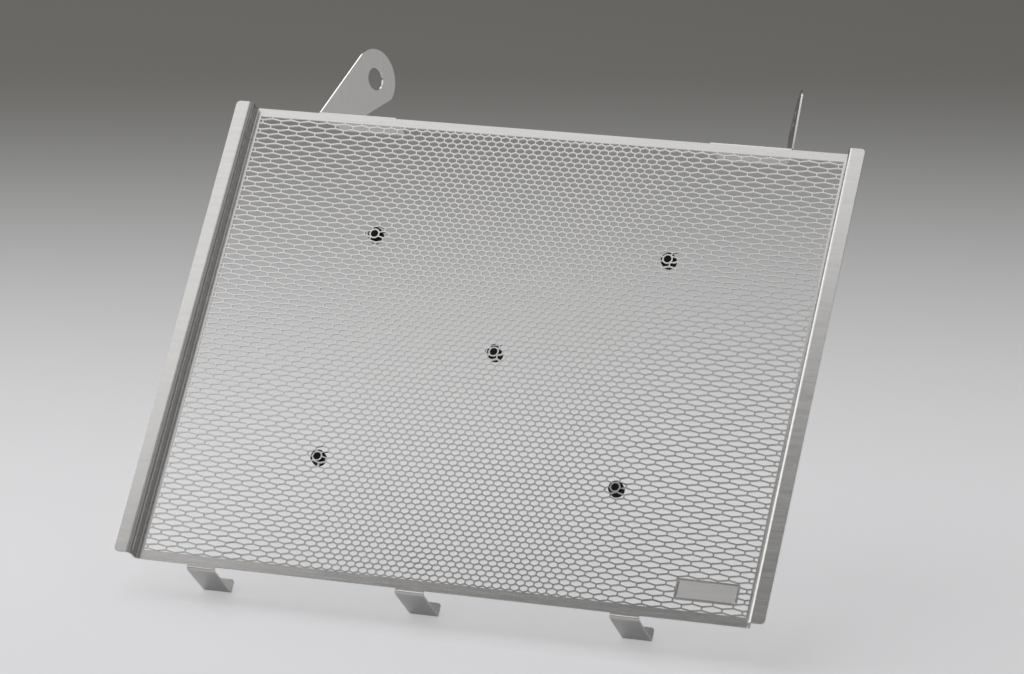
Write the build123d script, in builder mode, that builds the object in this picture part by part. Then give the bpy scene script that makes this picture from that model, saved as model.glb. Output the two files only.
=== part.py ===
"""Motorcycle radiator guard: one folded sheet of stainless steel with a perforated field,
two mounting ears and three lower hooks, and five rubber dampers pressed into it.

Frame: +Z up, the front faces -Y and +X runs along the width. The origin is the middle of the
centre damper's rear face, so the radiator core starts at the plane y = 0.
"""
from build123d import *
import os
from math import asin, atan2, cos, degrees, floor, hypot, radians, sin, tan

os.makedirs("parts", exist_ok=True)

# Sheet and panel
SHEET = 1.0
PANEL_HEIGHT = 275.0
PAD_THICKNESS = 4.0
CENTRE_DAMPER_HEIGHT = 140.4
FRONT = PAD_THICKNESS + SHEET
PANEL_BOTTOM = -CENTRE_DAMPER_HEIGHT
PANEL_TOP = PANEL_BOTTOM + PANEL_HEIGHT
PANEL_MIDDLE = (PANEL_BOTTOM + PANEL_TOP) / 2

# Side folds: forward out of the panel, then outwards as a flange parallel to the panel.
# Every bend radius in this file is the one on the inside of the bend.
OVERALL_WIDTH = 364.0
FOLD_HALF_WIDTH = 171.8
FLANGE_STANDOFF = 7.7
WALL_LEAN = 11.0
PANEL_BEND_RADIUS = 1.0
FLANGE_BEND_RADIUS = 1.0
FLANGE_CORNER_RADIUS = 2.2
FOLD_LAP = 0.2
PANEL_BEND_SPAN = PANEL_BEND_RADIUS * tan(radians(90 - WALL_LEAN) / 2)
FLAT_HALF_WIDTH = FOLD_HALF_WIDTH - PANEL_BEND_SPAN

# Perforated field: rows of stretched hexagons, narrow in the middle and wide at the sides.
# Strands and openings keep the real sheet's proportions, at nearly four times its pitch.
FIELD_BORDER = 5.0
FIELD_SIDE_BORDER = 2.7
FIELD_HALF_WIDTH = FLAT_HALF_WIDTH - FIELD_SIDE_BORDER
ROW_PITCH = 12.0
CENTRE_CELL = 19.9
SIDE_CELL = 43.0
GRADING_START = 56.0
GRADING_END = 118.0
STRAND = 3.1
ZIGZAG_SHARE = 0.325
NARROWEST_CELL = 6.0
SMALLEST_OPENING = 30.0

# Dampers: rubber pads behind the sheet, each with a stem in a ring of the field
DAMPER_SPACING = 168.8
UPPER_DAMPER_RISE = 63.7
LOWER_DAMPER_DROP = 70.6
PAD_RADIUS = 4.1
STEM_HOLE_RADIUS = 2.15
STEM_CLEARANCE = 0.05
STEM_TIP = 0.4
DAMPER_LAND_RADIUS = 5.7

# Badge field, left bare and stamped a little into the sheet
BADGE_WIDTH = 34.2
BADGE_HEIGHT = 11.8
BADGE_X = 145.9
BADGE_RISE = 17.1
BADGE_RIM = 1.1
BADGE_DEPTH = 0.3

# Upper ears: a shelf folded back from the top edge, and a plate folded up from its outer edge
EAR_LEFT_X = -135.7
EAR_RIGHT_X = 139.8
SHELF_WIDTH = 46.5
SHELF_REACH = 20.9
SHELF_RISE = 1.2
EAR_SLANT = 21.0
EAR_BACK = 35.8
EAR_LEFT_UP = 41.5
EAR_RIGHT_UP = 35.7
EAR_RADIUS = 17.2
EAR_BORE_RADIUS = 6.5
EAR_CORNER_ANGLE = -14.0
EAR_CORNER_RADIUS = 3.0
SHELF_BEND_RADIUS = 0.2
EAR_BEND_RADIUS = 0.5

# Lower hooks: folded back from the lower edge, and up again behind the radiator
HOOK_MIDDLE_X = -14.2
HOOK_SPACING = 119.3
HOOK_WIDTH = 16.0
HOOK_DROP = 2.9
HOOK_REACH = 30.0
HOOK_LIP = 7.8
HOOK_BEND_RADIUS = 1.0
LIP_BEND_RADIUS = 0.3
HOOK_CORNER_RADIUS = 1.6

DAMPERS = {
    "damper_upper_left": (-DAMPER_SPACING / 2, UPPER_DAMPER_RISE),
    "damper_upper_right": (DAMPER_SPACING / 2, UPPER_DAMPER_RISE),
    "damper_centre": (0, 0),
    "damper_lower_left": (-DAMPER_SPACING / 2, -LOWER_DAMPER_DROP),
    "damper_lower_right": (DAMPER_SPACING / 2, -LOWER_DAMPER_DROP),
}
HOOKS = [HOOK_MIDDLE_X + step * HOOK_SPACING for step in (-1, 0, 1)]
BADGE_PLACE = (BADGE_X, PANEL_BOTTOM + BADGE_RISE)


def cell_width(x):
    """Width of a cell at the distance x from the middle: it grows evenly between two places."""
    share = (abs(x) - GRADING_START) / (GRADING_END - GRADING_START)
    return CENTRE_CELL + (SIDE_CELL - CENTRE_CELL) * min(max(share, 0), 1)


def strand_places():
    """Middle lines of the upright strands, stepping out from one at the centre line."""
    places = [0.0]
    while places[-1] < FIELD_HALF_WIDTH:
        next_middle = places[-1] + cell_width(places[-1]) / 2
        places.append(places[-1] + cell_width(next_middle))
    return [-x for x in reversed(places[1:])] + places


def cell_corners(left, right, height):
    """Corners of the stretched hexagon between two strands, cut off at the field's side."""
    zigzag = ZIGZAG_SHARE * ROW_PITCH
    shoulder = (ROW_PITCH - zigzag - STRAND) / 2
    peak = shoulder + zigzag
    inner_left = max(left + STRAND / 2, -FIELD_HALF_WIDTH)
    inner_right = min(right - STRAND / 2, FIELD_HALF_WIDTH)
    middle = min(max((left + right) / 2, inner_left), inner_right)
    corners = [(inner_left, height - shoulder), (inner_left, height + shoulder),
               (middle, height + peak), (inner_right, height + shoulder),
               (inner_right, height - shoulder), (middle, height - peak)]
    return [corner for place, corner in enumerate(corners) if corner not in corners[:place]]


def field_cells():
    """Every opening of the field, in rows that alternate by half a cell."""
    even = strand_places()
    odd = [(a + b) / 2 for a, b in zip(even, even[1:])]
    rows = floor((PANEL_HEIGHT - 2 * FIELD_BORDER) / ROW_PITCH)
    cells = []
    for row in range(rows):
        height = PANEL_MIDDLE + (row - (rows - 1) / 2) * ROW_PITCH
        places = odd if row % 2 else even
        for left, right in zip(places, places[1:]):
            if min(right, FIELD_HALF_WIDTH) - max(left, -FIELD_HALF_WIDTH) > NARROWEST_CELL:
                corners = cell_corners(left, right, height)
                cells.append(Polygon(*corners, align=None, mode=Mode.PRIVATE))
    return cells


# Left ear, its outer end at x = 0: the plate lies in its own plane and leans inwards as it
# runs back from the foot.
SHELF_UNDERSIDE = SHELF_RISE - SHEET
EAR_FOOT = Vector(0, -FRONT + SHEET + SHELF_BEND_RADIUS, PANEL_TOP)
slant = radians(EAR_SLANT)
ear_run = Vector(sin(slant), cos(slant), 0)
ear_inward = Vector(cos(slant), -sin(slant), 0)
ear_plane = Plane(origin=EAR_FOOT, x_dir=ear_run, z_dir=ear_inward)
ear_section_plane = Plane(origin=EAR_FOOT, x_dir=ear_inward, z_dir=-ear_run)
shelf_corner = EAR_FOOT + ear_run * SHELF_REACH


def ear_plate(up):
    """Upright plate of an ear with its bore at the height up. Its front edge touches the head."""
    head_rise = up - SHELF_UNDERSIDE
    head_direction = atan2(head_rise, EAR_BACK)
    front_edge_lean = asin(EAR_RADIUS / hypot(EAR_BACK, head_rise))
    tangent_angle = 90 + degrees(head_direction + front_edge_lean)
    with BuildPart() as plate:
        with BuildSketch(ear_section_plane):
            with BuildLine():
                FilletPolyline((2 * EAR_BEND_RADIUS + SHEET, SHELF_UNDERSIDE),
                               (0, SHELF_UNDERSIDE), (0, up + EAR_RADIUS),
                               radius=EAR_BEND_RADIUS + SHEET)
                offset(amount=SHEET, side=Side.RIGHT)
            make_face()
        extrude(amount=-(EAR_BACK + EAR_RADIUS))
        with BuildSketch(ear_plane) as outline:
            with BuildLine():
                head = CenterArc((EAR_BACK, up), EAR_RADIUS, tangent_angle,
                                 EAR_CORNER_ANGLE - tangent_angle)
                Polyline(head @ 0, (0, SHELF_UNDERSIDE), (SHELF_REACH, SHELF_UNDERSIDE),
                         (SHELF_REACH, SHELF_RISE), head @ 1)
            make_face()
            rear_corner = outline.vertices().sort_by_distance(head @ 1)[0]
            fillet(rear_corner, EAR_CORNER_RADIUS)
            with Locations((EAR_BACK, up)):
                Circle(EAR_BORE_RADIUS, mode=Mode.SUBTRACT)
        extrude(amount=2 * (EAR_BEND_RADIUS + SHEET), mode=Mode.INTERSECT)
    return plate.part


def ear(up):
    """Shelf folded back from the top edge, cut along the slant, with its upright plate."""
    with BuildPart() as whole:
        with BuildSketch(Plane.YZ):
            with BuildLine():
                FilletPolyline((-FRONT, PANEL_TOP - FIELD_BORDER / 2),
                               (-FRONT, PANEL_TOP + SHELF_RISE),
                               (shelf_corner.Y, PANEL_TOP + SHELF_RISE),
                               radius=SHELF_BEND_RADIUS + SHEET)
                offset(amount=SHEET, side=Side.RIGHT)
            make_face()
        extrude(amount=SHELF_WIDTH)
        with BuildSketch(Plane.XY.offset(PANEL_TOP)):
            with BuildLine():
                Polyline((EAR_FOOT.X, EAR_FOOT.Y), (shelf_corner.X, shelf_corner.Y),
                         (EAR_FOOT.X, shelf_corner.Y), close=True)
            make_face()
        extrude(amount=SHELF_RISE, mode=Mode.SUBTRACT)
        add(ear_plate(up))
    return whole.part


# Hook in the middle of the width, with its lip behind the radiator
with BuildPart() as hook:
    underside = PANEL_BOTTOM - HOOK_DROP
    with BuildSketch(Plane.YZ.offset(-HOOK_WIDTH / 2)):
        with BuildLine():
            FilletPolyline((-FRONT, PANEL_BOTTOM + FIELD_BORDER / 2), (-FRONT, underside),
                           (HOOK_REACH - FRONT, underside),
                           (HOOK_REACH - FRONT, underside + HOOK_LIP),
                           radius=[HOOK_BEND_RADIUS + SHEET, LIP_BEND_RADIUS + SHEET])
            offset(amount=SHEET, side=Side.LEFT)
        make_face()
    extrude(amount=HOOK_WIDTH)
    lip_corners = hook.edges().filter_by(Axis.Y).group_by(Axis.Y)[-1]
    fillet(lip_corners, HOOK_CORNER_RADIUS)

with BuildPart() as guard_panel:
    # Side folds
    wall_top = FOLD_HALF_WIDTH + FLANGE_STANDOFF * tan(radians(WALL_LEAN))
    with BuildSketch(Plane.XY.offset(PANEL_BOTTOM)):
        with BuildLine():
            FilletPolyline((FLAT_HALF_WIDTH - FOLD_LAP, -FRONT), (FOLD_HALF_WIDTH, -FRONT),
                           (wall_top, -FRONT - FLANGE_STANDOFF),
                           (OVERALL_WIDTH / 2, -FRONT - FLANGE_STANDOFF),
                           radius=[PANEL_BEND_RADIUS, FLANGE_BEND_RADIUS + SHEET])
            offset(amount=SHEET, side=Side.LEFT)
        make_face()
    extrude(amount=PANEL_HEIGHT)
    flange_corners = guard_panel.edges().filter_by(Axis.Y).group_by(Axis.X)[-1]
    fillet(flange_corners, FLANGE_CORNER_RADIUS)
    mirror(about=Plane.YZ)

    # Ears and hooks
    with Locations((EAR_LEFT_X, 0, 0)):
        add(ear(EAR_LEFT_UP))
    with Locations((EAR_RIGHT_X, 0, 0)):
        add(mirror(ear(EAR_RIGHT_UP), about=Plane.YZ, mode=Mode.PRIVATE))
    with Locations(*[(x, 0, 0) for x in HOOKS]):
        add(hook.part)

    # Perforated flat panel, with a land round each damper and the badge field
    with BuildSketch(Plane.XZ.offset(FRONT), mode=Mode.PRIVATE) as openings:
        add(field_cells())
        with Locations(*DAMPERS.values()):
            Circle(DAMPER_LAND_RADIUS, mode=Mode.SUBTRACT)
        with Locations(BADGE_PLACE):
            Rectangle(BADGE_WIDTH, BADGE_HEIGHT, mode=Mode.SUBTRACT)
    clear_openings = [face for face in openings.sketch_local.faces() if face.area > SMALLEST_OPENING]
    with BuildSketch(Plane.XZ.offset(FRONT)):
        with Locations((0, PANEL_MIDDLE)):
            Rectangle(2 * FLAT_HALF_WIDTH, PANEL_HEIGHT)
        add(clear_openings, mode=Mode.SUBTRACT)
        with Locations(*DAMPERS.values()):
            Circle(STEM_HOLE_RADIUS, mode=Mode.SUBTRACT)
    extrude(amount=-SHEET)
    with BuildSketch(Plane.XZ.offset(FRONT)):
        with Locations(BADGE_PLACE):
            Rectangle(BADGE_WIDTH - 2 * BADGE_RIM, BADGE_HEIGHT - 2 * BADGE_RIM)
    extrude(amount=-BADGE_DEPTH, mode=Mode.SUBTRACT)

guard_panel.part.label = "guard_panel"
export_step(guard_panel.part, "parts/guard_panel.step")

# One damper: pad behind the sheet, and a stem through its ring with a low chamfered tip in front
with BuildPart() as damper:
    stem = STEM_HOLE_RADIUS - STEM_CLEARANCE
    with BuildSketch(Plane.XY) as damper_section:
        with BuildLine():
            Polyline((0, 0), (PAD_RADIUS, 0), (PAD_RADIUS, -PAD_THICKNESS), (stem, -PAD_THICKNESS),
                     (stem, -FRONT - STEM_TIP), (0, -FRONT - STEM_TIP), close=True)
        make_face()
        stem_edge = damper_section.vertices().sort_by_distance((stem, -FRONT - STEM_TIP))[0]
        chamfer(stem_edge, STEM_TIP)
    revolve(axis=Axis.Y)

for name, (x, z) in DAMPERS.items():
    with BuildPart() as placed:
        with Locations((x, 0, z)):
            add(damper.part)
    placed.part.label = name
    export_step(placed.part, f"parts/{name}.step")
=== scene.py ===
"""Motorcycle radiator guard, dressed for a studio picture.

The guard is one blank of steel sheet. It is drawn flat, cut into triangles in one go, and folded by formula:
past a bend line, a distance across the blank becomes an arc of the bend's radius and then a straight run.
"""

import logging
from dataclasses import dataclass, field
from enum import Enum
from itertools import chain
from typing import Any

import bpy
import numpy as np
from mathutils import Matrix, Vector
from mathutils.geometry import delaunay_2d_cdt


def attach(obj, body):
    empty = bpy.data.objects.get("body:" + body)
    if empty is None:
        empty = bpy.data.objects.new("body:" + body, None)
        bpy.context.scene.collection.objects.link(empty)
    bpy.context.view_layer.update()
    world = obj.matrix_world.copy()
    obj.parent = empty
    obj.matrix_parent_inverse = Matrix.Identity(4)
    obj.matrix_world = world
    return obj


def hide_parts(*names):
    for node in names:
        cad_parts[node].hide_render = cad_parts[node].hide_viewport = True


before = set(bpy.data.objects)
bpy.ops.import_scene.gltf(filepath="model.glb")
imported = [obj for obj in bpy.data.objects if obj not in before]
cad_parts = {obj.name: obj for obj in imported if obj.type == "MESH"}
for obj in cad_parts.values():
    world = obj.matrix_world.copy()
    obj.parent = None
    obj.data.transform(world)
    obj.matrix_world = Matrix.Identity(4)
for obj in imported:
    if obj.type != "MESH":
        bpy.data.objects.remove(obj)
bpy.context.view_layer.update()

MM = 0.001  # one mm in metres
TOUCH = 0.0001  # mm: places closer than this are one
MERGE = 1e-5  # mm: points closer than this are joined when the blank is cut
SLIVER = 1e-9  # square mm: triangles smaller than half of this are dropped
SHORTEST = 1e-15  # least divisor when a vector is scaled to length one
SMOOTH_LIMIT = np.cos(np.radians(20.0))  # cut walls that turn less than this share their normals
UV_NAME = "Blank"
Array = np.ndarray
Colour = tuple[float, float, float]
log = logging.getLogger("radiator_guard")


class Label(Enum):
    """What a closed outline on the blank stands for."""

    OPENING = 0
    FIELD = 1
    PLAIN = 2
    HOLE = 3
    BLANK = 4


def unit(vectors: Array) -> Array:
    """Vectors scaled to length one; a zero vector stays zero."""
    return vectors / np.maximum(np.linalg.norm(vectors, axis=-1, keepdims=True), SHORTEST)


def circle(centre: tuple[float, float], radius: float, count: int) -> Array:
    """Points of a circle: the centre plus the radius times the cosine and sine of even angles.

    Args:
        centre: middle of the circle, in mm.
        radius: radius in mm.
        count: number of points.

    Returns:
        An array of count points, anticlockwise.
    """
    angle = np.linspace(0, 2 * np.pi, count, endpoint=False)
    return np.array(centre) + radius * np.column_stack([np.cos(angle), np.sin(angle)])


def rounded_rectangle(centre: tuple[float, float], size: tuple[float, float], radius: float,
                      count: int = 5) -> Array:
    """Points of a rectangle with round corners: each corner's centre plus a quarter circle.

    Args:
        centre: middle of the rectangle, in mm.
        size: width and height in mm.
        radius: corner radius in mm.
        count: number of points of each corner.

    Returns:
        An array of points, anticlockwise from the upper right corner.
    """
    steps = np.linspace(0, np.pi / 2, count)
    turns = np.repeat(np.arange(4), len(steps))
    angle = np.tile(steps, 4) + turns * np.pi / 2
    signs = np.array([(1, 1), (-1, 1), (-1, -1), (1, -1)])[turns]
    middles = np.array(centre) + signs * (np.array(size) / 2 - radius)
    return middles + radius * np.column_stack([np.cos(angle), np.sin(angle)])


class FoldedLine:
    """A line across a sheet that bends: straight runs and arcs, each a stretch of constant curvature."""

    def __init__(self, corners: list[tuple[float, float]], radii: list[float]) -> None:
        """Works out the runs between the tangent points of each corner.

        Args:
            corners: the sharp corners of the line, with its two ends, in mm.
            radii: bend radius of each inner corner on this line, in mm.
        """
        points = np.array(corners, float)
        legs = np.diff(points, axis=0)
        lengths = np.hypot(*legs.T)
        headings = np.unwrap(np.arctan2(legs[:, 1], legs[:, 0]))
        turns = np.diff(headings)
        trims = np.array(radii) * np.abs(np.tan(turns / 2))
        straight = lengths - np.append(trims, 0) - np.insert(trims, 0, 0)
        arcs = np.array(radii) * np.abs(turns)
        self.start = points[0]
        self.runs = np.zeros(2 * len(lengths) - 1)
        self.runs[::2] = straight
        self.runs[1::2] = arcs
        self.curvature = np.zeros_like(self.runs)
        self.curvature[1::2] = np.sign(turns) / np.array(radii)
        self.headings = np.zeros_like(self.runs)
        self.headings[::2] = headings
        self.headings[1::2] = headings[:-1]
        self.places = np.concatenate([[0], np.cumsum(self.runs)])

    @property
    def length(self) -> float:
        """Length of the whole line."""
        return float(self.places[-1])

    def at(self, distance: Array) -> tuple[Array, Array]:
        """Points and left-hand normals at distances along the line.

        Each run adds its own displacement at the share of it that lies before the distance: the distance
        times its heading if it is straight, and the chord of its arc if it is curved.

        Args:
            distance: distances from the start, in mm.

        Returns:
            The points and the unit normals to the left of the heading.
        """
        share = np.clip(distance[:, None] - self.places[:-1], 0, self.runs)
        turn = self.curvature * share
        curved = self.curvature != 0
        safe = np.where(curved, self.curvature, 1)
        across = np.where(curved, (np.sin(self.headings + turn) - np.sin(self.headings)) / safe,
                          share * np.cos(self.headings))
        along = np.where(curved, (np.cos(self.headings) - np.cos(self.headings + turn)) / safe,
                         share * np.sin(self.headings))
        points = self.start + np.column_stack([across.sum(1), along.sum(1)])
        heading = self.headings[0] + turn.sum(1)
        return points, np.column_stack([-np.sin(heading), np.cos(heading)])

    def bend_places(self, steps: int = 8) -> Array:
        """Distances at which each bend is divided, its two ends included.

        Args:
            steps: number of divisions of each bend.

        Returns:
            The distances in mm, bend after bend.
        """
        starts = self.places[:-1][self.curvature != 0]
        widths = self.runs[self.curvature != 0]
        return (starts[:, None] + widths[:, None] * np.linspace(0, 1, steps + 1)).ravel()


@dataclass
class Outlines:
    """Closed outlines and loose cut lines on the blank, gathered for one triangulation."""

    points: list[Array] = field(default_factory=list)
    edges: list[Array] = field(default_factory=list)
    faces: list[list[int]] = field(default_factory=list)
    labels: list[Label] = field(default_factory=list)
    count: int = 0

    def add(self, label: Label, *outlines: Array) -> None:
        """Adds closed outlines and turns each anticlockwise.

        The sum of each point crossed with the next is twice the area, which is negative when clockwise.

        Args:
            label: what the outlines stand for.
            outlines: one array of points in order for each outline.
        """
        for outline in outlines:
            x, z = outline.T
            area = np.sum(x * np.roll(z, -1) - np.roll(x, -1) * z)
            self.points.append(outline if area > 0 else outline[::-1])
            self.faces.append(list(range(self.count, self.count + len(outline))))
            self.labels.append(label)
            self.count += len(outline)

    def add_lines(self, starts: Array, ends: Array) -> None:
        """Adds straight cut lines.

        Args:
            starts: first point of each line.
            ends: last point of each line.
        """
        self.points.append(np.column_stack([starts, ends]).reshape(-1, 2))
        places = self.count + np.arange(2 * len(starts)).reshape(-1, 2)
        self.edges.append(places)
        self.count += 2 * len(starts)

    def triangles(self) -> tuple[Array, Array]:
        """Cuts the plane along every outline and keeps what is metal.

        Metal is inside the blank, outside every hole, and outside the openings except where a plain part of
        the field, such as a ring or the badge field, covers them.

        Returns:
            The points and the triangles, anticlockwise.
        """
        places = np.concatenate(self.points)
        edges = np.concatenate(self.edges).tolist()
        made = delaunay_2d_cdt([Vector(p) for p in places.tolist()], edges, self.faces, 0, MERGE)
        points = np.array([tuple(p) for p in made[0]])
        triangles = np.array(made[2])
        owners = made[5]
        counts = np.fromiter((len(ids) for ids in owners), int, len(owners))
        kinds = np.array([label.value for label in self.labels])[np.fromiter(chain(*owners), int)]
        inside = np.zeros((len(Label), len(triangles)), bool)
        inside[kinds, np.repeat(np.arange(len(triangles)), counts)] = True
        cut = inside[Label.OPENING.value] & inside[Label.FIELD.value] & ~inside[Label.PLAIN.value]
        metal = inside[Label.BLANK.value] & ~inside[Label.HOLE.value] & ~cut
        triangles = triangles[metal]
        corners = points[triangles]
        area = np.cross(corners[:, 1] - corners[:, 0], corners[:, 2] - corners[:, 0])
        triangles[area < 0] = triangles[area < 0][:, ::-1]
        triangles = triangles[np.abs(area) > SLIVER]
        used, places = np.unique(triangles, return_inverse=True)
        return points[used], places.reshape(-1, 3)


@dataclass(frozen=True)
class Panel:
    """The flat panel and its side folds, in mm."""

    sheet: float = 1.0
    front: float = -5.0
    bottom: float = -140.4
    height: float = 275.0
    fold_half_width: float = 172.0
    overall_half_width: float = 182.0
    flange_standoff: float = 7.7
    wall_lean: float = np.radians(3.0)
    panel_bend: float = 1.0
    flange_bend: float = 2.9
    flange_corner: float = 2.2

    @property
    def top(self) -> float:
        """Height of the panel's top edge."""
        return self.bottom + self.height

    @property
    def side_line(self) -> FoldedLine:
        """Front face of one half: along the panel, forward up the wall and outwards along the flange.

        Returns:
            The line from the middle to the flange's edge, as places across and deep.
        """
        flange_start = self.fold_half_width + self.flange_standoff * np.tan(self.wall_lean)
        flange_front = self.front - self.flange_standoff
        return FoldedLine([(0, self.front), (self.fold_half_width, self.front),
                           (flange_start, flange_front), (self.overall_half_width, flange_front)],
                          [self.panel_bend, self.flange_bend])


@dataclass(frozen=True)
class Mesh:
    """The perforated field, in mm: rows of stretched hexagons that widen to the sides."""

    top_border: float = 4.75
    bottom_border: float = 5.2
    left: float = -168.7
    right: float = 169.4
    first_zigzag: float = 6.2
    row_pitch: float = 3.02
    centre_cell: float = 5.02
    side_cell: float = 10.95
    grading_start: float = 56.3
    grading_end: float = 122.5
    strand: float = 0.66
    zigzag_share: float = 0.325

    def cell_width(self, x: float) -> float:
        """Width of a cell at a distance from the middle: it grows evenly between two places."""
        return float(np.interp(x, [self.grading_start, self.grading_end], [self.centre_cell, self.side_cell]))

    def strand_places(self) -> Array:
        """Middle lines of the upright strands, stepping out from one at the centre line.

        Each step is the width of a cell whose middle lies half a cell on.

        Returns:
            The places across the field in mm, from left to right.
        """
        places = [0.0]
        while places[-1] < self.right + 2 * self.side_cell:
            middle = places[-1] + self.cell_width(places[-1]) / 2
            places.append(places[-1] + self.cell_width(middle))
        right = np.array(places)
        return np.concatenate([-right[:0:-1], right])

    def openings(self, panel: Panel) -> list[Array]:
        """Every opening as six points: the cell's corners, with each side moved in by half a strand.

        Rows alternate between the strand places and the points halfway between them. The upper and lower
        corner of a cell is where the next row has its strand. The rows start above the field and end below
        it, because the field's outline cuts them.

        Args:
            panel: the panel that carries the field.

        Returns:
            One array of six points for each opening, anticlockwise.
        """
        even = self.strand_places()
        odd = (even[:-1] + even[1:]) / 2
        depth = panel.height - self.first_zigzag - self.bottom_border
        rows = np.arange(-1, int(depth / self.row_pitch) + 1)
        heights = panel.top - self.first_zigzag - (rows + 0.5) * self.row_pitch
        rise = self.zigzag_share * self.row_pitch
        shoulder = (self.row_pitch - rise) / 2
        cells = []
        for places, peaks, chosen in ((even, odd, heights[1::2]), (odd, even[1:-1], heights[::2])):
            left, right = places[:-1] + self.strand / 2, places[1:] - self.strand / 2
            reach = np.column_stack([peaks - places[:-1], places[1:] - peaks])
            drop = self.strand / 2 * np.hypot(reach, rise) / reach
            inset = self.strand / 2 * rise / reach
            low = shoulder + inset - drop
            apex = shoulder + rise - drop.mean(1)
            x = np.column_stack([left, right, right, peaks, left, peaks])
            z = np.column_stack([-low[:, 0], -low[:, 1], low[:, 1], apex, low[:, 0], -apex])
            order = [5, 1, 2, 3, 4, 0]
            grid = np.stack([np.broadcast_to(x[:, order], (len(chosen), *x.shape)),
                             chosen[:, None, None] + z[:, order]], axis=-1)
            cells.append(grid.reshape(-1, 6, 2))
        return list(np.concatenate(cells))


@dataclass(frozen=True)
class Rings:
    """Five plain rings in the field, each round a rubber damper's stem, in mm."""

    spacing: float = 168.8
    upper: float = 63.7
    lower: float = -70.6
    outer_radius: float = 2.95
    hole_radius: float = 2.15
    count: int = 32

    def places(self) -> list[tuple[float, float]]:
        """Middle of each ring."""
        half = self.spacing / 2
        return [(-half, self.upper), (half, self.upper), (0, 0), (-half, self.lower), (half, self.lower)]


@dataclass(frozen=True)
class Badge:
    """The bare badge field, sunk a little into the sheet, in mm."""

    place: tuple[float, float] = (145.9, -123.3)
    width: float = 34.2
    height: float = 11.8
    corner: float = 0.8
    rim: float = 1.1
    slope: float = 0.35
    depth: float = 0.3

    def outline(self, inset: float = 0.0) -> Array:
        """The field's outline, moved in by an inset."""
        size = (self.width - 2 * inset, self.height - 2 * inset)
        return rounded_rectangle(self.place, size, self.corner)

    def sink(self, blank: Array) -> Array:
        """How deep each point lies: it grows evenly from the rim across the slope.

        Args:
            blank: points on the blank.

        Returns:
            The depth of each point in mm.
        """
        reach = np.array([self.width, self.height]) / 2 - self.rim
        inside = (reach - np.abs(blank - np.array(self.place))).min(1)
        return self.depth * np.clip(inside / self.slope, 0, 1)


@dataclass(frozen=True)
class Hook:
    """One lower hook, folded back from the bottom edge and up again, in mm."""

    middle: float
    width: float = 16.0
    drop: float = 2.9
    reach: float = 30.0
    lip: float = 7.8
    bend: float = 2.0
    lip_bend: float = 1.3
    corner: float = 1.6
    corner_points: int = 6

    def line(self, panel: Panel) -> FoldedLine:
        """The hook's front and lower face: down from the panel, back under the core and up the lip.

        Args:
            panel: the panel that carries the hook.

        Returns:
            The line from the panel's bottom edge, as places deep and high.
        """
        low, rear = panel.bottom - self.drop, panel.front + self.reach
        return FoldedLine([(panel.front, panel.bottom), (panel.front, low), (rear, low),
                           (rear, low + self.lip)], [self.bend, self.lip_bend])

    def outline(self, panel: Panel) -> Array:
        """The hook on the blank: a strip with two round corners at its end.

        Args:
            panel: the panel that carries the hook.

        Returns:
            Points round the strip's end, from left to right.
        """
        half, end = self.width / 2, panel.bottom - self.line(panel).length
        angle = np.linspace(0, np.pi / 2, self.corner_points)
        round_x = half - self.corner * (1 - np.sin(angle))
        round_z = end + self.corner * (1 - np.cos(angle))
        right = np.column_stack([self.middle + round_x, round_z])
        left = np.column_stack([self.middle - round_x, round_z])[::-1]
        return np.concatenate([left, right])

    def fold(self, panel: Panel, blank: Array) -> tuple[Array, Array]:
        """Folds points of the hook: the distance below the panel runs along the hook's line.

        Args:
            panel: the panel that carries the hook.
            blank: points on the blank.

        Returns:
            The folded points and the normals towards the sheet's rear face.
        """
        points, normals = self.line(panel).at(panel.bottom - blank[:, 1])
        zero = np.zeros(len(blank))
        return np.column_stack([blank[:, 0], points]), np.column_stack([zero, normals])


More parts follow.
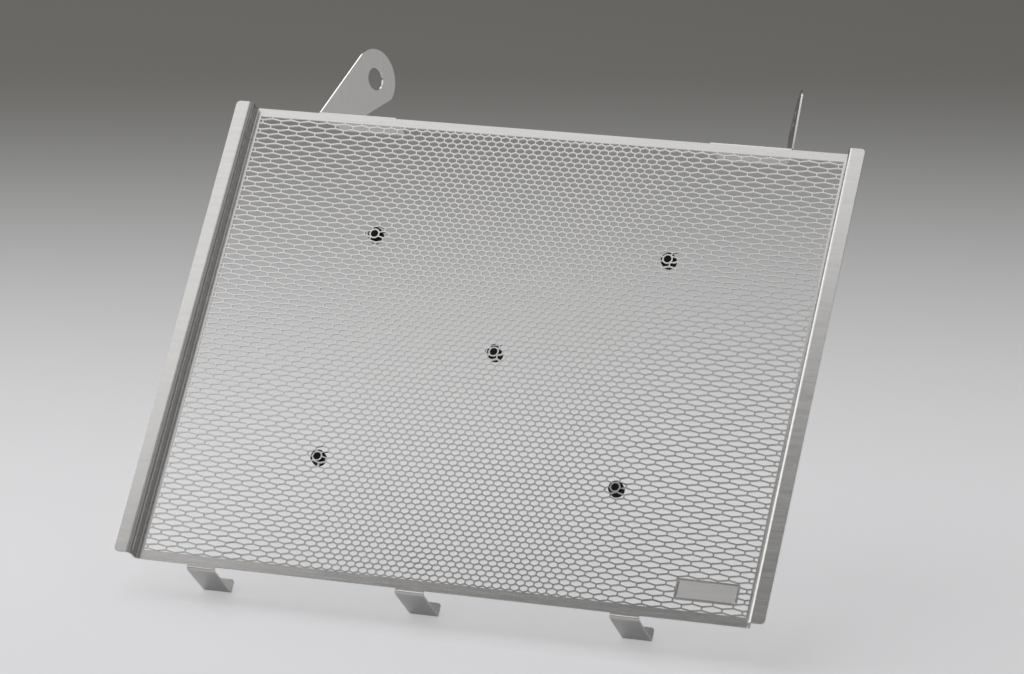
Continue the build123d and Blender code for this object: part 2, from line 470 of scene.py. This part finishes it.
@dataclass(frozen=True)
class Ear:
    """One upper ear: a shelf folded back from the top edge and a plate folded up from it, in mm.

    It is drawn as the left ear with its outer end at zero, and a side of -1 mirrors it.
    """

    outer: float
    side: int
    up: float
    shelf_width: float = 46.5
    shelf_reach: float = 20.9
    shelf_rise: float = 1.2
    slant: float = np.radians(21.0)
    back: float = 35.8
    radius: float = 17.2
    bore: float = 6.5
    corner_angle: float = np.radians(-14.0)
    corner_radius: float = 3.0
    plate_bend: float = 0.5
    foot_inset: float = 0.5
    cut_overrun: float = 3.0
    head_points: int = 48
    corner_points: int = 8
    bore_points: int = 64

    def shelf_line(self, panel: Panel) -> FoldedLine:
        """The sheet's front face from the top edge over the first bend and along the shelf.

        Args:
            panel: the panel that carries the ear.

        Returns:
            The line, as places deep and high.
        """
        rear = panel.front + self.shelf_rise + self.shelf_reach * np.cos(self.slant)
        height = panel.top + self.shelf_rise
        return FoldedLine([(panel.front, panel.top), (panel.front, height), (rear, height)],
                          [self.shelf_rise])

    def plate_line(self, panel: Panel) -> FoldedLine:
        """The shelf's upper face from well inside the ear out to the bend, and up the plate's inner face."""
        return FoldedLine([(-self.shelf_width, 0), (-panel.sheet, 0), (-panel.sheet, 2 * self.up)],
                          [self.plate_bend])

    @property
    def run(self) -> Array:
        """Direction on the shelf in which the plate runs back."""
        return np.array([np.sin(self.slant), np.cos(self.slant)])

    @property
    def inward(self) -> Array:
        """Direction on the shelf from the plate to the middle of the guard."""
        return np.array([np.cos(self.slant), -np.sin(self.slant)])

    def plate_to_blank(self, panel: Panel, places: Array) -> Array:
        """Lays points of the plate flat: height above the shelf becomes distance past the bend.

        Args:
            panel: the panel that carries the ear.
            places: distance along the run and height above the shelf, in mm.

        Returns:
            Points on the blank, for the left ear with its outer end at zero.
        """
        arc = self.plate_bend * np.pi / 2
        bend_start = panel.sheet + self.plate_bend
        inwards = bend_start - arc + self.plate_bend - places[:, 1]
        foot = np.array([0, panel.top + self.shelf_rise * np.pi / 2])
        return foot + places[:, :1] * self.run + inwards[:, None] * self.inward

    def head_outline(self, panel: Panel) -> Array:
        """The plate's outline: its front edge, tangent to the round head, then the head and the rear corner.

        The rear corner is an arc between the head's circle and the straight lower edge. Its centre lies
        a corner radius inside both.

        Args:
            panel: the panel that carries the ear.

        Returns:
            Points as distance along the run and height above the shelf.
        """
        centre = np.array([self.back, self.up - self.shelf_rise])
        foot = np.array([0, -panel.sheet])
        toward = centre - foot
        lean = np.arctan2(toward[1], toward[0]) + np.arcsin(self.radius / np.hypot(*toward))
        tip = centre + self.radius * np.array([np.cos(self.corner_angle), np.sin(self.corner_angle)])
        heel = np.array([self.shelf_reach, 0])
        edge = (heel - tip) / np.hypot(*(heel - tip))
        across = np.array([edge[1], -edge[0]])
        across = across * np.sign(across @ (centre - tip))
        offset = centre - tip - across * self.corner_radius
        along, gap = offset @ edge, offset @ across
        chord = np.sqrt((self.radius - self.corner_radius) ** 2 - gap ** 2)
        step = along - chord if along > chord else along + chord
        middle = tip + across * self.corner_radius + edge * step
        reach = middle - centre
        last = np.arctan2(reach[1], reach[0])
        head = np.linspace(lean + np.pi / 2, last, self.head_points)
        corner = np.linspace(last, np.arctan2(-across[1], -across[0]), self.corner_points)[1:]
        arc = centre + self.radius * np.column_stack([np.cos(head), np.sin(head)])
        turn = middle + self.corner_radius * np.column_stack([np.cos(corner), np.sin(corner)])
        start = foot + np.array([1 / np.tan(lean), 1]) * panel.sheet
        return np.concatenate([[start], arc, turn, [heel]])

    def place(self, points: Array) -> Array:
        """Moves points of the left ear at zero to this ear's place, mirrored for the right one."""
        return np.column_stack([self.outer + self.side * points[:, 0], points[:, 1]])

    def outline(self, panel: Panel) -> Array:
        """The whole ear on the blank: its foot, the plate laid flat and the shelf's other corners.

        Args:
            panel: the panel that carries the ear.

        Returns:
            Points from right to left.
        """
        line = self.shelf_line(panel)
        rear = panel.top + line.length
        bend_start = panel.sheet + self.plate_bend
        reach = self.shelf_reach * np.cos(self.slant)
        heel_x = (bend_start + reach * np.sin(self.slant)) / np.cos(self.slant)
        head = self.plate_to_blank(panel, self.head_outline(panel))
        shelf = np.array([(heel_x, rear), (self.shelf_width, rear), (self.shelf_width, panel.top)])
        points = self.place(np.concatenate([[(self.foot_inset, panel.top)], head, shelf]))
        return points[::-1] if self.side > 0 else points

    def bore_outline(self, panel: Panel) -> Array:
        """The bore on the blank."""
        rim = circle((self.back, self.up - self.shelf_rise), self.bore, self.bore_points)
        return self.place(self.plate_to_blank(panel, rim))

    def bend_lines(self, panel: Panel) -> tuple[Array, Array]:
        """Cut lines on the blank along the second bend, from before the plate to behind it.

        Args:
            panel: the panel that carries the ear.

        Returns:
            The starts and the ends of the lines.
        """
        line = self.plate_line(panel)
        inwards = self.shelf_width - line.bend_places()
        foot = np.array([0, panel.top + self.shelf_rise * np.pi / 2])
        near = foot + inwards[:, None] * self.inward
        far = near + self.run * (self.shelf_reach + self.cut_overrun)
        return self.place(near - self.run), self.place(far)

    def fold(self, panel: Panel, blank: Array) -> tuple[Array, Array]:
        """Folds points of the ear, first over the top edge and then up into the plate.

        The first bend turns height on the blank into depth along the shelf. The second turns the distance
        outwards from the bend line into the height of the plate.

        Args:
            panel: the panel that carries the ear.
            blank: points on the blank.

        Returns:
            The folded points and the normals towards the sheet's rear face.
        """
        line = self.shelf_line(panel)
        rise = blank[:, 1] - panel.top
        over, over_normal = line.at(rise)
        arc = self.shelf_rise * np.pi / 2
        x = self.side * (blank[:, 0] - self.outer)
        flat = np.column_stack([x, rise - arc])
        run, inwards = flat @ self.run, flat @ self.inward
        plate, plate_normal = self.plate_line(panel).at(self.shelf_width - inwards)
        on_shelf = (rise >= arc)[:, None]
        across = run[:, None] * self.run - plate[:, :1] * self.inward
        top = panel.top + self.shelf_rise
        folded = np.column_stack([across[:, 0], across[:, 1] + panel.front + self.shelf_rise,
                                  top + plate[:, 1]])
        plate_normal = -plate_normal
        leaning = np.column_stack([-plate_normal[:, :1] * self.inward, plate_normal[:, 1]])
        first = np.column_stack([x, over])
        first_normal = np.column_stack([np.zeros(len(x)), -over_normal])
        points = np.where(on_shelf, folded, first)
        normals = np.where(on_shelf, leaning, first_normal)
        points[:, 0] = self.outer + self.side * points[:, 0]
        normals[:, 0] *= self.side
        return points, normals


class GuardSheet:
    """The whole guard as one folded sheet: field, borders, side folds, ears and hooks."""

    def __init__(self) -> None:
        """Sets the parts of the sheet."""
        self.panel = Panel()
        self.mesh = Mesh()
        self.rings = Rings()
        self.badge = Badge()
        self.hooks = [Hook(middle) for middle in (-133.5, -14.2, 105.1)]
        self.ears = [Ear(outer=-135.7, side=1, up=41.5), Ear(outer=139.8, side=-1, up=35.7)]

    def blank_outline(self) -> Array:
        """Outline of the flat blank: the panel with its side folds, the hooks and the ears.

        Returns:
            Points, anticlockwise from the lower left corner.
        """
        panel = self.panel
        half, radius = panel.side_line.length, panel.flange_corner
        middle = (0, (panel.bottom + panel.top) / 2)
        frame_points = rounded_rectangle(middle, (2 * half, panel.height), radius)
        upper_right, upper_left, lower_left, lower_right = np.split(frame_points, 4)
        hooks = [hook.outline(panel) for hook in self.hooks]
        hooks = [np.concatenate([[(h[0, 0], panel.bottom)], h, [(h[-1, 0], panel.bottom)]]) for h in hooks]
        ears = [ear.outline(panel) for ear in reversed(self.ears)]
        return np.concatenate([lower_left, *hooks, lower_right, upper_right, *ears, upper_left])

    def drawing(self) -> Outlines:
        """Everything that is cut or marked on the blank: openings, rings, badge field and bend lines.

        Returns:
            The outlines and cut lines.
        """
        panel, mesh = self.panel, self.mesh
        drawing = Outlines()
        drawing.add(Label.OPENING, *mesh.openings(panel))
        low, high = panel.bottom + mesh.bottom_border, panel.top - mesh.top_border
        drawing.add(Label.FIELD, np.array([(mesh.left, low), (mesh.right, low),
                                           (mesh.right, high), (mesh.left, high)]))
        for inset in (0.0, self.badge.rim, self.badge.rim + self.badge.slope):
            drawing.add(Label.PLAIN, self.badge.outline(inset))
        for place in self.rings.places():
            drawing.add(Label.PLAIN, circle(place, self.rings.outer_radius, self.rings.count))
            drawing.add(Label.HOLE, circle(place, self.rings.hole_radius, self.rings.count))
        for ear in self.ears:
            drawing.add(Label.HOLE, ear.bore_outline(panel))
            drawing.add_lines(*ear.bend_lines(panel))
            heights = panel.top + ear.shelf_line(panel).bend_places()
            ends = np.array([(ear.outer, 0), (ear.outer + ear.side * ear.shelf_width, 0)])
            drawing.add_lines(ends[0] + heights[:, None] * (0, 1), ends[1] + heights[:, None] * (0, 1))
        for hook in self.hooks:
            heights = panel.bottom - hook.line(panel).bend_places()
            x = np.full(len(heights), hook.width / 2)
            drawing.add_lines(np.column_stack([hook.middle - x, heights]),
                              np.column_stack([hook.middle + x, heights]))
        bends = panel.side_line.bend_places()
        for x in (-bends, bends):
            drawing.add_lines(np.column_stack([x, np.full(len(x), panel.bottom)]),
                              np.column_stack([x, np.full(len(x), panel.top)]))
        drawing.add(Label.BLANK, self.blank_outline())
        return drawing

    def fold(self, blank: Array) -> tuple[Array, Array]:
        """Folds every point of the blank and sinks the badge field.

        Args:
            blank: points on the blank, in mm.

        Returns:
            Points of the front face and unit normals towards the rear face.
        """
        panel = self.panel
        side = np.sign(blank[:, 0])
        across, normal = panel.side_line.at(np.abs(blank[:, 0]))
        points = np.column_stack([side * across[:, 0], across[:, 1], blank[:, 1]])
        points[:, 1] += self.badge.sink(blank)
        normals = np.column_stack([side * normal[:, 0], normal[:, 1], np.zeros(len(blank))])
        for hook in self.hooks:
            mine = (blank[:, 1] < panel.bottom - TOUCH) & (np.abs(blank[:, 0] - hook.middle) < hook.width)
            points[mine], normals[mine] = hook.fold(panel, blank[mine])
        for ear in self.ears:
            mine = (blank[:, 1] > panel.top + TOUCH) & (blank[:, 0] * ear.side < 0)
            points[mine], normals[mine] = ear.fold(panel, blank[mine])
        return points, normals

    def face_normals(self, blank: Array, triangles: Array, front: Array, normals: Array) -> Array:
        """Normals of the triangles' corners towards the rear face.

        They are the fold's own, so bends look round, but flat where the badge field slopes, so its rim stays
        sharp. A flat triangle's normal is the cross product of two of its sides.

        Args:
            blank: points on the blank.
            triangles: three points of each triangle.
            front: folded points of the front face.
            normals: the fold's normal at each point.

        Returns:
            Three normals for each triangle.
        """
        corners = front[triangles]
        flat = unit(np.cross(corners[:, 2] - corners[:, 0], corners[:, 1] - corners[:, 0]))
        sloping = np.ptp(self.badge.sink(blank)[triangles], axis=1) > TOUCH
        return np.where(sloping[:, None, None], flat[:, None], normals[triangles])

    @staticmethod
    def cut_walls(triangles: Array, count: int) -> Array:
        """Walls between the faces, one along every side that only one triangle has.

        Args:
            triangles: three points of each triangle.
            count: number of points of the front face; the rear face's follow them.

        Returns:
            Four vertices of each wall.
        """
        sides = triangles[:, [0, 1, 1, 2, 2, 0]].reshape(-1, 2)
        keys = sides[:, 0] * count + sides[:, 1]
        rim = sides[~np.isin(keys, sides[:, 1] * count + sides[:, 0])]
        return np.column_stack([rim[:, 1], rim[:, 0], rim[:, 0] + count, rim[:, 1] + count])

    @staticmethod
    def wall_normals(walls: Array, vertices: Array) -> Array:
        """Normals of the walls' corners, smooth round bores and sharp at corners.

        Each vertex takes the sum of its walls' normals, scaled to one. A wall keeps its own normal where that
        sum turns away from it.

        Args:
            walls: four vertices of each wall.
            vertices: places of all vertices.

        Returns:
            One normal for each corner of each wall.
        """
        corners = vertices[walls]
        facing = unit(np.cross(corners[:, 1] - corners[:, 0], corners[:, 3] - corners[:, 0]))
        own = np.repeat(facing, 4, axis=0)
        shared = np.zeros_like(vertices)
        np.add.at(shared, walls.ravel(), own)
        smooth = unit(shared)[walls.ravel()]
        turned_away = (smooth * own).sum(1, keepdims=True) < SMOOTH_LIMIT
        return np.where(turned_away, own, smooth)

    def build(self) -> bpy.types.Object:
        """Makes the sheet: front face, rear face one thickness behind it, and walls along every edge.

        Returns:
            The new object, with the blank's own coordinates as its UV map.
        """
        blank, triangles = self.drawing().triangles()
        front, normals = self.fold(blank)
        count = len(blank)
        vertices = np.concatenate([front, front + normals * self.panel.sheet]) * MM
        walls = self.cut_walls(triangles, count)
        rear = triangles[:, ::-1] + count
        loops = np.concatenate([triangles.ravel(), rear.ravel(), walls.ravel()])
        sizes = np.concatenate([np.full(2 * len(triangles), 3), np.full(len(walls), 4)])
        mesh = bpy.data.meshes.new("guard_sheet")
        mesh.vertices.add(len(vertices))
        mesh.vertices.foreach_set("co", vertices.ravel())
        mesh.loops.add(len(loops))
        mesh.loops.foreach_set("vertex_index", loops)
        mesh.polygons.add(len(sizes))
        mesh.polygons.foreach_set("loop_start", np.cumsum(sizes) - sizes)
        mesh.polygons.foreach_set("use_smooth", np.ones(len(sizes), bool))
        flat_map = mesh.uv_layers.new(name=UV_NAME)
        flat_map.uv.foreach_set("vector", (np.tile(blank, (2, 1)) * MM)[loops].astype(np.float32).ravel())
        mesh.update(calc_edges=True)
        mesh.validate()
        face_normals = self.face_normals(blank, triangles, front, normals)
        loop_normals = np.concatenate([-face_normals.reshape(-1, 3), face_normals[:, ::-1].reshape(-1, 3),
                                       self.wall_normals(walls, vertices)])
        if len(mesh.loops) == len(loop_normals):
            mesh.normals_split_custom_set(loop_normals.tolist())
        else:
            log.warning("guard sheet: the mesh lost %d corners and has no normals of its own",
                        len(loop_normals) - len(mesh.loops))
        sheet = bpy.data.objects.new("guard_sheet", mesh)
        bpy.context.scene.collection.objects.link(sheet)
        log.info("guard sheet: %d openings, %d triangles", len(self.mesh.openings(self.panel)),
                 2 * len(triangles) + 2 * len(walls))
        return sheet


class Signal:
    """One output in a material's graph. Arithmetic on signals adds Math nodes."""

    def __init__(self, graph: "Graph", socket: bpy.types.NodeSocket) -> None:
        """Keeps the graph and the socket."""
        self.graph = graph
        self.socket = socket

    def _math(self, operation: str, *values: Any) -> "Signal":
        """Adds a Math node for an operation on values and signals."""
        return self.graph.node("ShaderNodeMath", {"operation": operation}, dict(enumerate(values)))

    def __add__(self, other: Any) -> "Signal":
        """Sum."""
        return self._math("ADD", self, other)

    __radd__ = __add__

    def __mul__(self, other: Any) -> "Signal":
        """Product."""
        return self._math("MULTIPLY", self, other)

    __rmul__ = __mul__


class Graph:
    """A material's node graph."""

    def __init__(self, name: str) -> None:
        """Makes an empty material.

        Args:
            name: the material's name.
        """
        self.material = bpy.data.materials.new(name)
        self.material.use_nodes = True
        self.nodes = self.material.node_tree.nodes
        self.links = self.material.node_tree.links
        self.nodes.clear()

    def node(self, kind: str, settings: dict[str, Any], values: dict[Any, Any], output: Any = 0) -> Signal:
        """Adds one node.

        Args:
            kind: the node's type.
            settings: its own settings, set first.
            values: a number, colour or signal for each input, by name or number.
            output: which output to return.

        Returns:
            The chosen output as a signal.
        """
        made = self.nodes.new(kind)
        for name, value in settings.items():
            if name == "stops":
                self._stops(made, value)
            else:
                setattr(made, name, value)
        for name, value in values.items():
            if isinstance(value, Signal):
                self.links.new(value.socket, made.inputs[name])
            else:
                made.inputs[name].default_value = value
        return Signal(self, made.outputs[output])

    @staticmethod
    def _stops(ramp: bpy.types.Node, stops: list[tuple[float, Colour]]) -> None:
        """Sets a colour ramp's stops.

        Args:
            ramp: the colour ramp.
            stops: place and colour of each stop.
        """
        elements = ramp.color_ramp.elements
        while len(elements) < len(stops):
            elements.new(1.0)
        for element, (place, colour) in zip(elements, stops):
            element.position = place
            element.color = (*colour, 1)

    def finish(self, surface: Signal) -> bpy.types.Material:
        """Links a surface to the output.

        Args:
            surface: the finished shader.

        Returns:
            The material.
        """
        made = self.nodes.new("ShaderNodeOutputMaterial")
        self.links.new(surface.socket, made.inputs["Surface"])
        return self.material


@dataclass(frozen=True)
class BrushedSteel:
    """Stainless sheet, brushed along the width of the blank. The groove's depth is in metres."""

    light: Colour = (0.71, 0.70, 0.685)
    dark: Colour = (0.63, 0.62, 0.605)
    roughness: float = 0.14
    streak_roughness: float = 0.16
    matt: float = 0.3
    fine_scale: tuple[float, float, float] = (60.0, 3200.0, 1.0)
    wide_scale: tuple[float, float, float] = (14.0, 700.0, 1.0)
    fine_share: float = 0.65
    tint_range: tuple[float, float] = (0.35, 0.65)
    brushing: float = 0.12
    groove: float = 0.00005

    def streaks(self, graph: Graph, blank: Signal, scale: tuple[float, float, float], detail: float,
                fading: float) -> Signal:
        """Noise squeezed across the brushing, so it draws out to streaks along the width.

        Args:
            graph: the material's graph.
            blank: the blank's coordinates, in metres.
            scale: repeats in a metre along the width and along the height; the third isn't used.
            detail: number of finer layers.
            fading: how strong each layer is against the one before it.

        Returns:
            The noise, from 0 to 1.
        """
        squeezed = graph.node("ShaderNodeMapping", {}, {"Vector": blank, "Scale": scale})
        return graph.node("ShaderNodeTexNoise", {"noise_dimensions": "2D"},
                          {"Vector": squeezed, "Scale": 1.0, "Detail": detail, "Roughness": fading})

    def material(self, badge: Badge) -> bpy.types.Material:
        """Fine streaks along the blank's width tint, roughen and raise the surface.

        The badge field's floor is etched matt: a place lies on it where it differs from its middle by less
        than half its size, both ways.

        Args:
            badge: the badge field.

        Returns:
            The material.
        """
        graph = Graph("brushed_steel")
        blank = graph.node("ShaderNodeUVMap", {"uv_map": UV_NAME}, {})
        etched = 1.0
        for axis, middle, size in zip("XY", badge.place, (badge.width, badge.height)):
            place = graph.node("ShaderNodeSeparateXYZ", {}, {0: blank}, axis)
            half = (size / 2 - badge.rim - badge.slope) * MM
            etched = etched * graph.node("ShaderNodeMath", {"operation": "COMPARE"},
                                         {0: place, 1: middle * MM, 2: half})
        fine = self.streaks(graph, blank, self.fine_scale, detail=2.0, fading=0.6)
        wide = self.streaks(graph, blank, self.wide_scale, detail=3.0, fading=0.5)
        streak = fine * self.fine_share + wide * (1 - self.fine_share)
        stops = list(zip(self.tint_range, (self.dark, self.light)))
        tint = graph.node("ShaderNodeValToRGB", {"stops": stops}, {0: streak})
        rough = streak * self.streak_roughness + self.roughness + etched * self.matt
        bump = graph.node("ShaderNodeBump", {},
                          {"Strength": self.brushing, "Distance": self.groove, "Height": streak})
        surface = graph.node("ShaderNodeBsdfPrincipled", {},
                             {"Base Color": tint, "Metallic": 1.0, "Roughness": rough, "Normal": bump})
        return graph.finish(surface)


@dataclass(frozen=True)
class DamperRubber:
    """Matt black moulded rubber. Its grain's scale is repeats in a metre and its depth is in metres."""

    black: Colour = (0.006, 0.006, 0.006)
    bloom: Colour = (0.016, 0.016, 0.017)
    tint_range: tuple[float, float] = (0.35, 0.75)
    grain_scale: float = 1800.0
    roughness: float = 0.6
    grain_roughness: float = 0.2
    relief: float = 0.3
    grain_depth: float = 0.0001
    sheen: float = 0.15

    def material(self) -> bpy.types.Material:
        """A faint grey bloom and a fine grain on black.

        Returns:
            The material.
        """
        graph = Graph("damper_rubber")
        place = graph.node("ShaderNodeTexCoord", {}, {}, "Object")
        grain = graph.node("ShaderNodeTexNoise", {},
                           {"Vector": place, "Scale": self.grain_scale, "Detail": 3.0})
        stops = list(zip(self.tint_range, (self.black, self.bloom)))
        tint = graph.node("ShaderNodeValToRGB", {"stops": stops}, {0: grain})
        bump = graph.node("ShaderNodeBump", {},
                          {"Strength": self.relief, "Distance": self.grain_depth, "Height": grain})
        surface = graph.node("ShaderNodeBsdfPrincipled", {},
                             {"Base Color": tint, "Roughness": grain * self.grain_roughness + self.roughness,
                              "Normal": bump, "Specular IOR Level": self.sheen})
        return graph.finish(surface)


@dataclass(frozen=True)
class Softbox:
    """A lamp of the studio. Places are right, depth and height in mm, and a turn is in degrees."""

    name: str
    place: tuple[float, float, float]
    target: tuple[float, float, float]
    width: float
    height: float
    watts: float
    turn: float = 0.0


@dataclass(frozen=True)
class Studio:
    """The floor that the guard leans over, the lamps and the grey room, in mm."""

    up: tuple[float, float, float] = (0.0, -0.656, 0.755)
    floor_depth: float = 123.9
    floor_reach: float = 9000.0
    # The paper's colour from near to far holds painted shade: it darkens away in place of the lamps' falloff.
    near: Colour = (0.93, 0.93, 0.945)
    far: Colour = (0.205, 0.202, 0.19)
    painted_shade_start: float = 0.0
    painted_shade_end: float = 1280.0
    painted_shade_turn: float = np.radians(19.0)
    glow: float = 0.4
    mirrored_glow: float = 0.1
    room: Colour = (0.5, 0.5, 0.5)
    room_strength: float = 0.3
    softboxes: tuple[Softbox, ...] = (
        Softbox("overhead_softbox", (-815, -226, 1500), (-815, -226, 0), 1800, 1200, 5.8, 25),
        Softbox("front_softbox", (-870, -2100, 1250), (0, 0, 0), 1000, 1300, 4),
        Softbox("left_softbox", (-1500, 1150, 1215), (0, 0, 0), 800, 800, 4),
        Softbox("right_softbox", (1830, 1220, 300), (0, 0, 0), 1400, 800, 1.5),
        Softbox("bend_softbox", (-40, -760, 1500), (-40, -760, 0), 220, 900, 0.5),
        Softbox("upper_right_softbox", (960, -320, 1200), (0, 0, 0), 1000, 1000, 0.7),
        Softbox("side_softbox", (-1150, -175, 720), (175, -60, -70), 850, 900, 2.6),
        Softbox("rear_softbox", (-300, 980, 1400), (0, 0, 0), 1300, 600, 4),
    )

    def axes(self) -> tuple[Array, Array, Array]:
        """Unit vectors of the studio: the depth is up crossed with right.

        Returns:
            The vectors to the right, into the depth and up.
        """
        up = np.array(self.up) / np.linalg.norm(self.up)
        right = np.array([1.0, 0.0, 0.0])
        return right, np.cross(up, right), up

    def floor(self) -> bpy.types.Object:
        """A flat floor under the hooks: its middle plus steps to the right and into the depth.

        Returns:
            The floor.
        """
        right, depth, up = self.axes()
        middle = -up * self.floor_depth
        steps = np.array([(-1, -1), (1, -1), (1, 1), (-1, 1)]) * self.floor_reach
        corners = middle + steps @ np.stack([right, depth])
        mesh = bpy.data.meshes.new("studio_floor")
        mesh.from_pydata((corners * MM).tolist(), [], [(0, 1, 2, 3)])
        floor = bpy.data.objects.new("studio_floor", mesh)
        bpy.context.scene.collection.objects.link(floor)
        mesh.materials.append(self.paper())
        return floor

    def paper(self) -> bpy.types.Material:
        """Pale paper, darker away from the camera by painted shade, and not seen from behind.

        The distance along the fade is the place's dot product with its direction. Rays from the camera and
        from glossy metal see part of the paper's colour as a glow, and the rest as lit, with the shadow.

        Returns:
            The material.
        """
        graph = Graph("studio_paper")
        right, depth, _ = self.axes()
        fade = depth * np.cos(self.painted_shade_turn) - right * np.sin(self.painted_shade_turn)
        place = graph.node("ShaderNodeTexCoord", {}, {}, "Object")
        distance = graph.node("ShaderNodeVectorMath", {"operation": "DOT_PRODUCT"},
                              {0: place, 1: tuple(fade)}, "Value")
        share = graph.node("ShaderNodeMapRange", {"interpolation_type": "SMOOTHSTEP"},
                           {"Value": distance, "From Min": self.painted_shade_start * MM,
                            "From Max": self.painted_shade_end * MM})
        # Painted shade: the paper's colour darkens from near to far in place of the lamps' falloff.
        tint = graph.node("ShaderNodeValToRGB", {"stops": [(0.0, self.near), (1.0, self.far)]}, {0: share})
        lit = graph.node("ShaderNodeBsdfDiffuse", {}, {"Color": tint})
        glow = graph.node("ShaderNodeEmission", {}, {"Color": tint, "Strength": 1.0})
        clear = graph.node("ShaderNodeBsdfTransparent", {}, {})
        camera = graph.node("ShaderNodeLightPath", {}, {}, "Is Camera Ray")
        glossy = graph.node("ShaderNodeLightPath", {}, {}, "Is Glossy Ray")
        behind = graph.node("ShaderNodeNewGeometry", {}, {}, "Backfacing")
        seen = camera * self.glow + glossy * self.mirrored_glow
        paper = graph.node("ShaderNodeMixShader", {}, {0: seen, 1: lit, 2: glow})
        surface = graph.node("ShaderNodeMixShader", {}, {0: camera * behind, 1: paper, 2: clear})
        return graph.finish(surface)

    def lamp(self, softbox: Softbox) -> None:
        """Adds a softbox.

        It faces its target: its own axes are the cross products of the studio's depth and the way back from
        the target, and it is then turned about the last of them.

        Args:
            softbox: the lamp's place, aim, size and power.
        """
        basis = np.stack(self.axes())
        start, end = np.array(softbox.place) @ basis * MM, np.array(softbox.target) @ basis * MM
        away = unit(start - end)
        across = unit(np.cross(basis[1], away))
        columns = np.column_stack([across, np.cross(away, across), away])
        light = bpy.data.lights.new(softbox.name, "AREA")
        light.shape = "RECTANGLE"
        light.size, light.size_y = softbox.width * MM, softbox.height * MM
        light.energy = softbox.watts
        lamp = bpy.data.objects.new(softbox.name, light)
        turned = Matrix(columns.tolist()).to_4x4() @ Matrix.Rotation(np.radians(softbox.turn), 4, "Z")
        lamp.matrix_world = Matrix.Translation(start) @ turned
        bpy.context.scene.collection.objects.link(lamp)

    def world(self) -> None:
        """An even grey room."""
        world = bpy.data.worlds.new("studio")
        bpy.context.scene.world = world
        world.use_nodes = True
        background = world.node_tree.nodes["Background"]
        background.inputs["Color"].default_value = (*self.room, 1)
        background.inputs["Strength"].default_value = self.room_strength

    def build(self) -> None:
        """Sets the floor, the room and the softboxes."""
        self.floor()
        self.world()
        for softbox in self.softboxes:
            self.lamp(softbox)
        log.info("studio: floor, room and %d softboxes", len(self.softboxes))


@dataclass(frozen=True)
class PhotographCamera:
    """The camera at the photograph's angle: degrees, and mm."""

    azimuth: float = 20.822
    elevation: float = -22.541
    roll: float = 13.663
    distance: float = 2460.4
    target: tuple[float, float, float] = (6.42, 0.0, 11.74)
    lens: float = 160.73
    sensor: float = 36.0
    farthest: float = 100000.0

    def build(self) -> bpy.types.Object:
        """Places the camera: back from the target along the view, then rolled about it.

        Returns:
            The camera.
        """
        azimuth, elevation = np.radians([self.azimuth, self.elevation])
        away = Vector((np.sin(azimuth) * np.cos(elevation), -np.cos(azimuth) * np.cos(elevation),
                       np.sin(elevation)))
        lens = bpy.data.cameras.new("photograph")
        lens.lens = self.lens
        lens.sensor_width = self.sensor
        lens.clip_end = self.farthest * MM
        camera = bpy.data.objects.new("photograph", lens)
        upright = (-away).to_track_quat("-Z", "Y").to_matrix().to_4x4()
        turn = upright @ Matrix.Rotation(np.radians(self.roll), 4, "Z")
        camera.matrix_world = Matrix.Translation((Vector(self.target) + away * self.distance) * MM) @ turn
        bpy.context.scene.collection.objects.link(camera)
        bpy.context.scene.camera = camera
        log.info("camera at azimuth %.1f and elevation %.1f", self.azimuth, self.elevation)
        return camera


def main() -> None:
    """Builds the guard, dresses the dampers and sets the studio."""
    bpy.context.scene.view_settings.view_transform = "Standard"
    PhotographCamera().build()
    guard = GuardSheet()
    sheet = guard.build()
    sheet.data.materials.append(BrushedSteel().material(guard.badge))
    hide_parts("guard_panel")
    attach(sheet, "root")
    rubber = DamperRubber().material()
    for name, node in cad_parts.items():
        if name.startswith("damper"):
            node.data.materials.clear()
            node.data.materials.append(rubber)
            log.info("%s: rubber", name)
    Studio().build()


if __name__ == "__main__":
    logging.basicConfig(level=logging.INFO, format="%(name)s: %(message)s")
    main()
